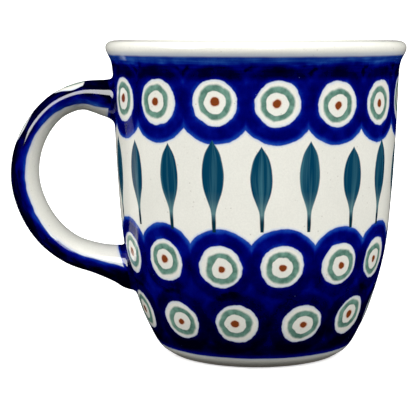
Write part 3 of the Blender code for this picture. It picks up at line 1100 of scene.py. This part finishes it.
    colour = ground_by_cobalt(tree, place, inside, painting)
    leaf = add(
        tree, "ShaderNodeGroup",
        {
            "Local": rows["leaf"].outputs["Local"],
            "Random": rows["leaf"].outputs["Random"],
            "Leaf": (*painting.leaf, 1.0),
        },
        node_tree=bpy.data.node_groups["Brushed leaf"],
    )
    for name, split, side in (
        ("top", UNDER_TOP_ROW, "GREATER_THAN"),
        ("middle", UNDER_MIDDLE_ROW, "GREATER_THAN"),
        ("low", UNDER_MIDDLE_ROW, "LESS_THAN"),
    ):
        is_row = add(tree, MATH, {0: height, 1: split}, operation=side)
        painted = paint_eye(tree, colour, eyes[name], place, painting)
        colour = add(tree, MIX, {0: is_row, 6: colour, 7: painted}, data_type="RGBA").outputs[2]
    colour = covered(tree, colour, cobalt, inside)
    colour = add(
        tree, MIX, {0: leaf.outputs["Cover"], 6: colour, 7: leaf.outputs["Colour"]}, data_type="RGBA"
    ).outputs[2]
    tree.links.new(colour, shader.inputs["Base Color"])
    glaze_waves(tree, shader, place, 0.02 * MM)
    return material


def white_glaze(painting):
    """White stoneware under clear glaze, inside the cup, over its lip and in the foot's recess."""
    material, shader = new_material("clear_glazed_stoneware", 0.07, 1.5)
    tree = material.node_tree
    place = cup_place(tree)
    ground = add(
        tree, "ShaderNodeGroup", {"Place": place, "Colour": (*painting.ground, 1.0)},
        node_tree=bpy.data.node_groups["Glazed ground"],
    )
    tree.links.new(ground.outputs[0], shader.inputs["Base Color"])
    glaze_waves(tree, shader, place, 0.02 * MM)
    return material


def bare_stoneware():
    """The unglazed foot ring: wiped clean before firing, so it is matt, sandy and a little toasted."""
    material, shader = new_material("bare_fired_stoneware", 0.75, 1.45)
    tree = material.node_tree
    place = cup_place(tree)
    # Grog and sand grains, some 0.4 mm across.
    sand = add(tree, "ShaderNodeTexNoise", {"Vector": place, "Scale": 1 / 0.4, "Detail": 3.0})
    tone = add(tree, RANGE, {"Value": sand.outputs["Fac"], 1: 0.3, 2: 0.7})
    colour = add(
        tree, MIX, {0: tone, 6: (*linear("#BDB6AA"), 1.0), 7: (*linear("#D6D0C4"), 1.0)},
        data_type="RGBA",
    )
    tree.links.new(colour.outputs[2], shader.inputs["Base Color"])
    bump = add(
        tree, "ShaderNodeBump", {"Height": sand.outputs["Fac"], "Strength": 0.6, "Distance": 0.08 * MM}
    )
    tree.links.new(bump.outputs[0], shader.inputs["Normal"])
    return material


def cobalt_handle(painting):
    """The handle's glaze: cobalt over its spine and sides, bare of paint inside the finger gap.

    White eyes follow its spine, and the glaze has run thin and bright along its edges."""
    material, shader = new_material("cobalt_painted_handle", 0.06, 1.5)
    tree = material.node_tree
    place = cup_place(tree)
    strap = add(tree, "ShaderNodeAttribute", attribute_name="strap")
    strap = add(tree, VECTOR, {0: strap.outputs["Vector"], "Scale": 1000.0}, operation="SCALE")
    strap = add(
        tree, "ShaderNodeGroup", {"Place": strap, "Size": 4.0, "Reach": 0.25, "Seed": 9.0},
        node_tree=bpy.data.node_groups["Unsteady hand"],
    )
    gap = add(tree, "ShaderNodeAttribute", attribute_name="wall_gap")
    gap = add(tree, MATH, {0: gap.outputs["Fac"], 1: 1000.0}, operation="MULTIPLY")
    spot = add(tree, "ShaderNodeSeparateXYZ", {"Vector": strap})
    along, across, outwards = (spot.outputs[i] for i in range(3))

    # The painted edge runs lower on the strap's side towards its foot.
    edge = add(tree, RANGE, {"Value": along, 1: 6.0, 2: 30.0, 3: -2.7, 4: -1.0})
    inside = add(tree, MATH, {0: outwards, 1: edge}, operation="SUBTRACT")
    hem = add(tree, MATH, {0: 2.1, 1: gap}, operation="SUBTRACT")
    band = add(tree, MATH, {0: inside, 1: hem}, operation="MAXIMUM")

    # Eyes every 18 mm along the spine, smaller towards the strap's foot.
    cells = add(tree, MATH, {0: along, 1: EYE_START}, operation="SUBTRACT")
    cells = add(tree, MATH, {0: cells, 1: EYE_STEP}, operation="DIVIDE")
    cell = add(tree, MATH, {0: cells}, operation="FLOOR")
    share = add(tree, MATH, {0: cells, 1: cell}, operation="SUBTRACT")
    share = add(tree, MATH, {0: share, 1: 0.5}, operation="SUBTRACT")
    share = add(tree, MATH, {0: share, 1: EYE_STEP}, operation="MULTIPLY")
    chance = add(tree, "ShaderNodeTexWhiteNoise", {"W": cell}, noise_dimensions="1D")
    behind = add(tree, MATH, {0: outwards, 1: 0.0}, operation="LESS_THAN")
    behind = add(tree, MATH, {0: behind, 1: 50.0}, operation="MULTIPLY")
    local = add(tree, "ShaderNodeCombineXYZ", {"X": behind, "Y": across, "Z": share})
    window = add(tree, RANGE, {"Value": along, 1: 14.0, 2: 50.0, 3: 6.3, 4: 3.6})
    eye = add(
        tree, "ShaderNodeGroup",
        {"Local": local, "Random": chance.outputs["Color"], "Window": window, "Stamp size": 0.7},
        node_tree=bpy.data.node_groups["Eye"],
    )
    near_wall = add(tree, RANGE, {"Value": gap, 1: 9.0, 2: 5.0, 3: 0.0, 4: 20.0})
    outside = add(tree, MATH, {0: near_wall, 1: eye.outputs["Inside"]}, operation="SUBTRACT")
    inside = add(tree, MATH, {0: band, 1: outside}, operation="MINIMUM")

    streak_place = add(tree, "ShaderNodeMapping", {"Vector": strap, "Scale": (0.18, 0.6, 0.6)})
    streaks = add(tree, "ShaderNodeTexNoise", {"Vector": streak_place, "Scale": 1.0, "Detail": 3.0})
    streaks = add(tree, RANGE, {"Value": streaks.outputs["Fac"], 1: 0.3, 2: 0.7, 3: -0.55, 4: 0.5})
    pigment = add(tree, RANGE, {"Value": outwards, 1: -1.6, 2: 2.8, 3: 0.75, 4: 1.95})
    pigment = add(tree, MATH, {0: pigment, 1: streaks}, operation="ADD")
    # Painted shade: the cobalt darkens within 5 mm of the cup's wall, in the crease where the handle meets
    # it.
    crease_shade = add(tree, RANGE, {"Value": gap, 1: 5.0, 2: 0.5, 3: 0.0, 4: 0.9})
    pigment = add(tree, MATH, {0: pigment, 1: crease_shade}, operation="ADD")
    cobalt = add(
        tree, "ShaderNodeGroup", {"Place": place, "Pigment": pigment, "Inside": band},
        node_tree=bpy.data.node_groups["Brushed cobalt"],
    )
    haloed = ground_by_cobalt(tree, place, inside, painting)
    eyed = paint_eye(tree, haloed, eye, place, painting)
    tree.links.new(covered(tree, eyed, cobalt, inside), shader.inputs["Base Color"])
    glaze_waves(tree, shader, place, 0.02 * MM)
    return material


def pooled_cobalt():
    """Luting slip painted over with cobalt, where the glaze pools: nearly black, with thin spots."""
    material, shader = new_material("cobalt_glazed_slip", 0.06, 1.5)
    tree = material.node_tree
    place = cup_place(tree)
    pools = add(tree, "ShaderNodeTexNoise", {"Vector": place, "Scale": 1 / 3.0, "Detail": 2.0})
    pigment = add(tree, RANGE, {"Value": pools.outputs["Fac"], 1: 0.3, 2: 0.7, 3: 0.9, 4: 1.7})
    cobalt = add(
        tree, "ShaderNodeGroup", {"Place": place, "Pigment": pigment, "Inside": 5.0},
        node_tree=bpy.data.node_groups["Brushed cobalt"],
    )
    tree.links.new(cobalt.outputs[0], shader.inputs["Base Color"])
    glaze_waves(tree, shader, place, 0.03 * MM)
    return material


def unit(vectors):
    """Vectors of length 1 in the same directions."""
    return vectors / np.linalg.norm(vectors, axis=-1, keepdims=True)


def onto_wall(points):
    """Points in millimetres moved level to the cup's outside."""
    out = points[:, :2] / np.linalg.norm(points[:, :2], axis=1, keepdims=True)
    return np.column_stack([out * wall_radius(points[:, 2])[:, None], points[:, 2]])


def slip_bead(name, rings, reach):
    """A closed fillet of slip round one end of the handle.

    rings are the handle's sections from inside the wall outwards, in millimetres from the
    cup's axis. Each line of points along the handle meets the wall at a corner, and the
    bead's section is a curve from the handle to the wall with that corner as its control."""
    gaps = np.linalg.norm(rings[:, :, :2], axis=2) - wall_radius(rings[:, :, 2])
    corners = []
    on_handle = []
    for side in range(rings.shape[1]):
        line = rings[:, side]
        first = int(np.argmax(gaps[:, side] > 0))
        share = -gaps[first - 1, side] / (gaps[first, side] - gaps[first - 1, side])
        corner = line[first - 1] + (line[first] - line[first - 1]) * share
        onwards = np.vstack([corner, line[first:]])
        run = np.insert(np.cumsum(np.linalg.norm(np.diff(onwards, axis=0), axis=1)), 0, 0.0)
        corners.append(corner)
        on_handle.append([np.interp(reach, run, column) for column in onwards.T])
    corners = np.array(corners)
    on_handle = np.array(on_handle)
    loop = unit(np.roll(corners, -1, axis=0) - np.roll(corners, 1, axis=0))
    level = np.column_stack([corners[:, :2], np.zeros(len(corners))])
    away = unit(np.cross(loop, unit(level)))
    if (away * (corners - corners.mean(axis=0))).sum() < 0:
        away = -away
    on_wall = onto_wall(corners + away * reach)
    sunk = onto_wall(corners) - unit(level) * BEAD_IN_WALL
    inwards = unit(corners.mean(axis=0) - corners)
    section = [on_handle + inwards * BEAD_IN_HANDLE - unit(level) * 0.1]
    for t in np.linspace(0, 1, 9):
        section.append((1 - t) ** 2 * on_handle + 2 * t * (1 - t) * corners + t**2 * on_wall)
    section.append(on_wall - unit(level) * BEAD_IN_WALL / 2)
    section.append(sunk + inwards * BEAD_IN_WALL)
    stack = np.array(section)
    stack[:, :, 0] += AXIS_X / MM
    layers, sides = stack.shape[:2]
    faces = []
    for layer in range(layers):
        for side in range(sides):
            below, beside = (layer + 1) % layers, (side + 1) % sides
            faces.append(
                (layer * sides + side, layer * sides + beside,
                 below * sides + beside, below * sides + side)
            )
    mesh = bpy.data.meshes.new(name)
    mesh.from_pydata([tuple(p) for p in stack.reshape(-1, 3) * MM], [], faces)
    mesh.update()
    made = bpy.data.objects.new(name, mesh)
    bpy.context.scene.collection.objects.link(made)
    make_solid(made)
    return made


def make_solid(piece):
    """Merges doubles, turns every face outwards, and shades the piece smooth."""
    shape = bmesh.new()
    shape.from_mesh(piece.data)
    bmesh.ops.remove_doubles(shape, verts=shape.verts, dist=0.005 * MM)
    bmesh.ops.recalc_face_normals(shape, faces=shape.faces)
    loose = [edge for edge in shape.edges if len(edge.link_faces) != 2]
    shape.to_mesh(piece.data)
    shape.free()
    if loose:
        raise RuntimeError(f"{piece.name} has {len(loose)} open edges")
    piece.data.shade_smooth()
    piece.data.set_sharp_from_angle(angle=math.radians(50))


class MUG_OT_glazes(bpy.types.Operator):
    """Makes the node groups and the five fired finishes"""

    bl_idname = "mug.glazes"
    bl_label = "Glazes"

    def execute(self, context):
        painting = context.scene.mug_painting
        for make in (stamp_group, row_group, waver_group, eye_group, ground_group, cobalt_group, leaf_group):
            make()
        painted_stoneware(painting)
        white_glaze(painting)
        bare_stoneware()
        cobalt_handle(painting)
        pooled_cobalt()
        return {"FINISHED"}


class MUG_OT_cup(bpy.types.Operator):
    """Turns the cup: inside, lip, painted outside, and foot ring"""

    bl_idname = "mug.cup"
    bl_label = "Cup"

    def execute(self, context):
        sizes = context.scene.mug_shape
        runs = [smooth_run(stations, OUTLINE_SPAN) for stations in (INSIDE, OUTSIDE, FOOT)]
        outline = np.vstack(runs).clip(0.0)
        lengths = np.insert(np.cumsum(np.linalg.norm(np.diff(outline, axis=0), axis=1)), 0, 0.0)
        starts = np.cumsum([len(run) for run in runs])
        foot_ring_end = starts[1] + FOOT_RING_SPANS * OUTLINE_SPAN
        guide = line_object("painted_cup", [(r * MM, 0.0, z * MM) for r, z in outline])
        tree = turned_tree()
        finishes = bpy.data.materials
        cup = run_nodes(
            guide, tree,
            {
                "Axis": (AXIS_X, 0.0, 0.0),
                "Segments": sizes.segments,
                "Outline points": int(lengths[-1] * MM / sizes.outline_step),
                "Unevenness": sizes.unevenness,
                "Seed": 4.0,
                "Outside starts": float(lengths[starts[0]] / lengths[-1]),
                "Foot starts": float(lengths[starts[1] - 2] / lengths[-1]),
                "Recess starts": float(lengths[foot_ring_end] / lengths[-1]),
                "Painted": finishes["underglaze_painted_stoneware"],
                "Plain": finishes["clear_glazed_stoneware"],
                "Bare": finishes["bare_fired_stoneware"],
            },
        )
        make_solid(cup)
        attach(cup, "root")
        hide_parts("cup_body")
        return {"FINISHED"}


class MUG_OT_handle(bpy.types.Operator):
    """Sweeps the strap handle from wall to wall"""

    bl_idname = "mug.handle"
    bl_label = "Handle"

    def execute(self, context):
        sizes = context.scene.mug_shape
        stations = np.array(STRAP)
        points = [(AXIS_X - out * MM, 0.0, up * MM) for out, up in stations[:, :2]]
        guide = line_object(
            "painted_handle", points, thickness=stations[:, 2] * MM, width=stations[:, 3] * MM
        )
        handle = run_nodes(
            guide, strap_tree(),
            {
                "Step": sizes.strap_step,
                "Sides": sizes.strap_sides,
                "Squareness": sizes.strap_squareness,
                "Cup": bpy.data.objects["painted_cup"],
                "Glaze": bpy.data.materials["cobalt_painted_handle"],
            },
        )
        make_solid(handle)
        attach(handle, "root")
        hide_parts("handle")
        return {"FINISHED"}


class MUG_OT_slip(bpy.types.Operator):
    """Smooths a bead of slip round each end of the handle"""

    bl_idname = "mug.slip"
    bl_label = "Luting slip"

    def execute(self, context):
        sizes = context.scene.mug_shape
        handle = bpy.data.objects["painted_handle"].data
        places = np.empty(len(handle.vertices) * 3)
        handle.vertices.foreach_get("co", places)
        rings = places.reshape(-1, sizes.strap_sides, 3) / MM
        rings[:, :, 0] -= AXIS_X / MM
        reach = sizes.slip_fillet / MM
        for node, ends in (("upper_luting_slip", rings[:30]), ("lower_luting_slip", rings[::-1][:40])):
            bead = slip_bead(node.replace("luting_slip", "slip_bead"), ends, reach)
            bead.data.materials.append(bpy.data.materials["cobalt_glazed_slip"])
            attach(bead, "root")
            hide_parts(node)
        return {"FINISHED"}


def softbox(name, place, aim, size, radiance, roll=0.0):
    """A rectangular light, turned to its aim and rolled, that only the glaze mirrors."""
    light = bpy.data.lights.new(name, "AREA")
    light.shape = "RECTANGLE"
    light.size, light.size_y = size
    light.energy = radiance * math.pi * size[0] * size[1]
    lamp = bpy.data.objects.new(name, light)
    lamp.location = place
    turn = (Vector(aim) - Vector(place)).to_track_quat("-Z", "Y")
    lamp.rotation_euler = (turn @ Quaternion((0, 0, 1), math.radians(roll))).to_euler()
    lamp.visible_diffuse = False
    bpy.context.scene.collection.objects.link(lamp)
    return lamp


class MUG_OT_stage(bpy.types.Operator):
    """Sets the mug on a pale floor with softboxes and the camera"""

    bl_idname = "mug.stage"
    bl_label = "Stage"

    def execute(self, context):
        scene = context.scene
        studio = scene.mug_studio
        low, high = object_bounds()
        middle = (low.x + high.x) / 2

        # Uncoated white paper: matt, and lit a little from within so that it stays white.
        paper, shader = new_material("white_paper", 0.9, 1.45)
        shader.inputs["Base Color"].default_value = (0.93, 0.93, 0.93, 1.0)
        shader.inputs["Emission Color"].default_value = (1.0, 1.0, 1.0, 1.0)
        shader.inputs["Emission Strength"].default_value = 0.5
        profile = [(0.0, 0.0), (2.6, 0.0), (2.85, 0.07), (3.0, 0.25), (3.0, 0.9)]
        floor = line_object("paper_floor", [(r, 0.0, z) for r, z in profile])
        turn = floor.modifiers.new("Turn", "SCREW")
        turn.steps = 64
        turn.render_steps = 64
        turn.use_merge_vertices = True
        turn.merge_threshold = 0.0001
        floor.data.materials.append(paper)
        floor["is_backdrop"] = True
        # The mug sees a darker table under it, so the paper only carries its soft shadow.
        floor.visible_glossy = False
        floor.visible_diffuse = False
        floor.visible_shadow = False

        aim = (middle + studio.aim_side, 0.0, studio.aim_height)
        back = (0.0, -math.cos(studio.pitch), math.sin(studio.pitch))
        camera = bpy.data.objects.new("camera", bpy.data.cameras.new("camera"))
        camera.data.sensor_width = 36.0
        camera.data.lens = studio.lens
        camera.data.clip_start = 0.02
        camera.location = [a + b * studio.distance for a, b in zip(aim, back)]
        camera.rotation_euler = (Vector(aim) - camera.location).to_track_quat("-Z", "Y").to_euler()
        scene.collection.objects.link(camera)
        scene.camera = camera

        softbox("overhead_softbox", (-0.48, -0.45, 0.73), aim, (1.25, 0.6), studio.glint * 1.5, 56.0)
        softbox("front_softbox", (0.15, -0.89, 0.35), aim, (0.3, 0.22), studio.glint)
        for name, bearing, rise, share in (
            ("left_window", -55, 34, 1.0),
            ("right_window", 55, 34, 1.0),
            ("left_back_fill", -150, 12, 0.35),
            ("right_back_fill", 150, 12, 0.35),
        ):
            window = bpy.data.lights.new(name, "SUN")
            window.energy = studio.window * share
            window.angle = math.radians(60)
            lamp = bpy.data.objects.new(name, window)
            lamp.rotation_euler = (math.radians(90 - rise), 0.0, math.radians(bearing))
            lamp.visible_glossy = False
            scene.collection.objects.link(lamp)
        world = bpy.data.worlds.new("tent")
        world.use_nodes = True
        nodes = world.node_tree
        facing = add(nodes, "ShaderNodeTexCoord")
        facing = add(nodes, "ShaderNodeSeparateXYZ", {"Vector": facing.outputs["Generated"]})
        bright = add(
            nodes, RANGE,
            {"Value": facing.outputs["Z"], 1: 0.0, 2: 0.2, 3: studio.table, 4: studio.tent},
        )
        background = nodes.nodes["Background"]
        background.inputs["Color"].default_value = (1.0, 1.0, 1.0, 1.0)
        nodes.links.new(bright.outputs[0], background.inputs["Strength"])
        world.cycles_visibility.glossy = False
        scene.world = world
        scene.view_settings.view_transform = "Standard"
        return {"FINISHED"}


class MUG_PT_panel(bpy.types.Panel):
    """The mug's pieces and the sizes and colours behind them"""

    bl_label = "Stoneware Mug"
    bl_idname = "MUG_PT_panel"
    bl_space_type = "VIEW_3D"
    bl_region_type = "UI"
    bl_category = "Mug"

    def draw(self, context):
        layout = self.layout
        for operator in OPERATORS:
            layout.operator(operator.bl_idname)
        for group in (context.scene.mug_shape, context.scene.mug_painting, context.scene.mug_studio):
            box = layout.box()
            for name in group.bl_rna.properties.keys():
                if name not in {"rna_type", "name"}:
                    box.prop(group, name)


GROUPS = {"mug_shape": MugShape, "mug_painting": MugPainting, "mug_studio": MugStudio}
OPERATORS = (MUG_OT_glazes, MUG_OT_cup, MUG_OT_handle, MUG_OT_slip, MUG_OT_stage)


def register():
    for made in (*GROUPS.values(), *OPERATORS, MUG_PT_panel):
        bpy.utils.register_class(made)
    for name, group in GROUPS.items():
        setattr(bpy.types.Scene, name, PointerProperty(type=group))


def unregister():
    for name in GROUPS:
        delattr(bpy.types.Scene, name)
    for made in (MUG_PT_panel, *reversed(OPERATORS), *GROUPS.values()):
        bpy.utils.unregister_class(made)


def main():
    register()
    bpy.ops.mug.glazes()
    bpy.ops.mug.cup()
    bpy.ops.mug.handle()
    bpy.ops.mug.slip()
    bpy.ops.mug.stage()


if __name__ == "__main__":
    main()
